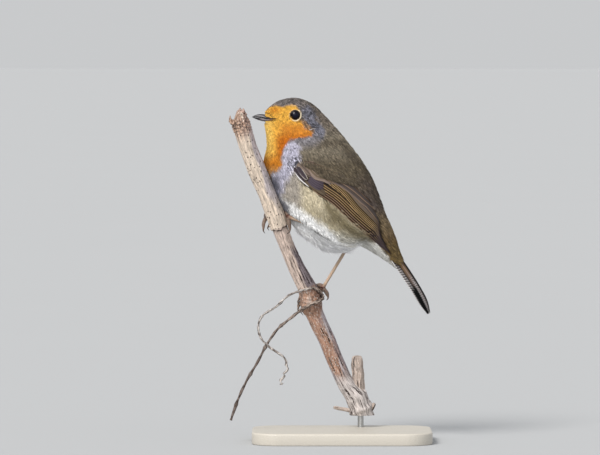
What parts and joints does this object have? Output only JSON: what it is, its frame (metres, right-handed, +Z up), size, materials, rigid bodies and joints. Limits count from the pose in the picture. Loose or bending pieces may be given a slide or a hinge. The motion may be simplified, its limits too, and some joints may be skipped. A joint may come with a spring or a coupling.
{
  "type": "model of a european robin on a stem",
  "caption": "Life-size still model of a european robin clinging to a slanting dry plant stem, with the stem held by a rod on a flat display base.",
  "frame": {"origin": "centre of the display base's underside, at floor level", "axes": "+Z up; the bird faces -X with its tail towards +X; its left side faces -Y and its right side +Y"},
  "size_m": [0.1012, 0.06, 0.1719],
  "materials": {
    "head_feathers": "soft feathers, orange face below a grey-brown crown",
    "body_feathers": "soft feathers, olive brown above, buff flanks, white belly",
    "flight_feathers": "smooth brown vanes with buff edges",
    "bill_horn": "smooth dark horn, paler at the root",
    "claw_horn": "smooth brown horn",
    "eye": "wet, glossy, nearly black",
    "leg_skin": "pinkish brown scaled skin, redder at the joints",
    "bark": "weathered dry stem, pale with dark specks and fibres",
    "vine": "dry grey-brown climbing stem",
    "stand_plate": "satin off-white paint",
    "stand_steel": "brushed steel"
  },
  "bodies": {
    "root": {"head": "head_feathers", "neck": "body_feathers", "trunk": "body_feathers", "thigh_left": "body_feathers", "thigh_right": "body_feathers", "wing_left_coverts": "flight_feathers", "wing_left_secondaries": "flight_feathers", "wing_left_primaries": "flight_feathers", "wing_right_coverts": "flight_feathers", "wing_right_secondaries": "flight_feathers", "wing_right_primaries": "flight_feathers", "tail": "flight_feathers", "bill_upper": "bill_horn", "bill_lower": "bill_horn", "eye_left": "eye", "eye_right": "eye", "tarsus_left": "leg_skin", "tarsus_right": "leg_skin", "toe_left_1": "leg_skin", "toe_left_2": "leg_skin", "toe_left_3": "leg_skin", "toe_left_4": "leg_skin", "toe_right_1": "leg_skin", "toe_right_2": "leg_skin", "toe_right_3": "leg_skin", "toe_right_4": "leg_skin", "claw_left_1": "claw_horn", "claw_left_2": "claw_horn", "claw_left_3": "claw_horn", "claw_left_4": "claw_horn", "claw_right_1": "claw_horn", "claw_right_2": "claw_horn", "claw_right_3": "claw_horn", "claw_right_4": "claw_horn", "perch_stem": "bark", "perch_vine": "vine", "stand_rod": "stand_steel", "stand_base": "stand_plate"}
  },
  "joints": []
}
